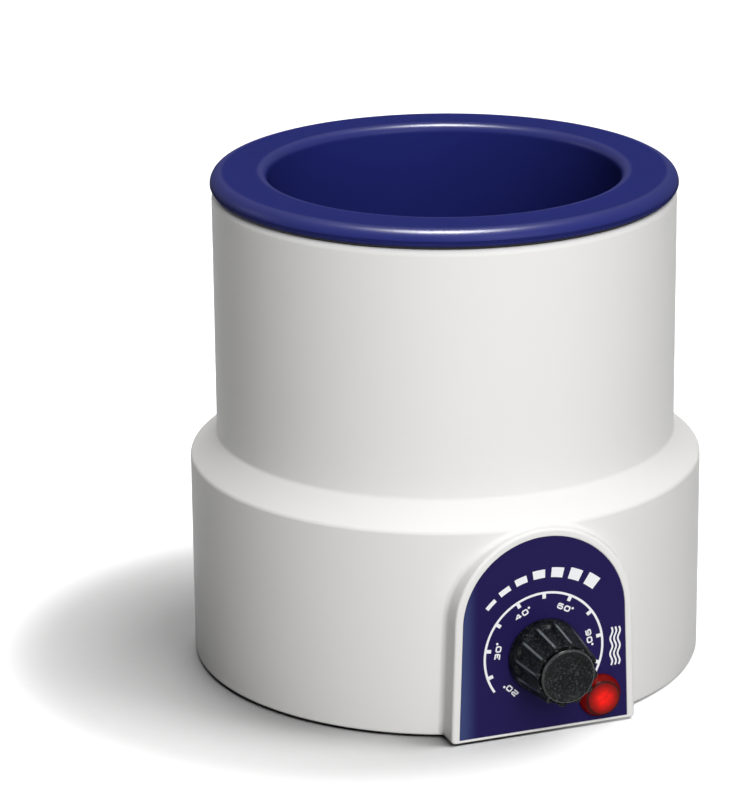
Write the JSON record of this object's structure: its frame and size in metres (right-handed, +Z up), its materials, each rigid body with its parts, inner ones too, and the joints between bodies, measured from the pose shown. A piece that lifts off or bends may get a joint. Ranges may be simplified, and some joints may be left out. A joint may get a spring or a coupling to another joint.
{
  "type": "wax warmer pot",
  "caption": "Round electric warmer with a stepped white housing, a flanged blue well for a wax can, a fluted dial knob and a red pilot lamp on an arched front panel.",
  "frame": {"origin": "on the well's axis, at the plane that the rubber foot ring stands on", "axes": "+Z is up along the well's axis, -Y is the way the control panel and its knob face, +X is the side of the pilot lamp"},
  "size_m": [0.176, 0.2009, 0.1712],
  "materials": {
    "housing_white": "glossy white moulded ABS",
    "pot_blue": "satin blue non-stick enamel on spun aluminium",
    "seal_black": "black silicone",
    "label_blue": "satin dark blue printed polycarbonate film",
    "knob_black": "fine-textured black moulded phenolic",
    "steel": "zinc-plated steel",
    "brass": "plain brass",
    "copper": "drawn copper tube",
    "phenolic": "brown moulded phenolic",
    "lens_red": "clear red polycarbonate",
    "neon_glass": "glowing neon tube",
    "nylon_dark": "dark moulded nylon",
    "nylon_ivory": "natural moulded nylon",
    "heater_steel": "bright steel sheath",
    "ceramic": "white steatite",
    "glass_wool": "needled glass fibre",
    "sleeve_clear": "natural nylon connector sleeves",
    "cover_white": "matt white moulded ABS",
    "rubber_grey": "dark grey moulded rubber",
    "rubber_black": "black moulded rubber",
    "wire_brown": "brown silicone insulation",
    "wire_black": "black silicone insulation",
    "wire_blue": "blue silicone insulation",
    "wire_green_yellow": "green and yellow insulation"
  },
  "bodies": {
    "body": {"housing": "housing_white", "pot": "pot_blue", "seal_ring": "seal_black", "control_label": "label_blue", "spindle_bush": "brass", "thermostat_plate": "steel", "thermostat_case": "phenolic", "thermostat_cover": "phenolic", "thermostat_capsule": "steel", "contact_blade": "brass", "fixed_contact": "brass", "thermostat_tabs": "brass", "thermostat_screws": "steel", "capillary_tube": "copper", "sensing_bulb": "copper", "bulb_clips": "steel", "pilot_lens": "lens_red", "neon_bulb": "neon_glass", "pilot_body": "nylon_dark", "pilot_collar": "steel", "pilot_tabs": "brass", "heater_band": "heater_steel", "band_clamp_bolt": "steel", "band_clamp_nut": "steel", "heater_terminals": "ceramic", "ring_terminals": "brass", "heater_nuts": "steel", "insulation_sleeve": "glass_wool", "thermal_cutout": "phenolic", "cutout_studs": "steel", "cutout_nuts": "steel", "tie_rod": "steel", "earth_tag": "brass", "tie_washer": "steel", "tie_nuts": "steel", "terminal_block": "nylon_ivory", "terminal_inserts": "brass", "terminal_screws": "steel", "block_screws": "steel", "push_on_sleeves": "sleeve_clear", "base_cover": "cover_white", "base_screws": "steel", "foot_ring": "rubber_grey", "cord_gland": "rubber_black", "wire_live": "wire_brown", "wire_switched": "wire_black", "wire_heater": "wire_black", "wire_neutral": "wire_blue", "wire_lamp_live": "wire_black", "wire_lamp_neutral": "wire_blue", "wire_earth": "wire_green_yellow"},
    "dial_knob": {"knob": "knob_black", "spindle": "steel"}
  },
  "joints": [
    {"name": "knob_turn", "type": "hinge", "parent": "body", "child": "dial_knob", "pos_m": [0, -0.0904, 0.0279], "axis": [0, 1, 0], "range_deg": [-108, 162]}
  ]
}
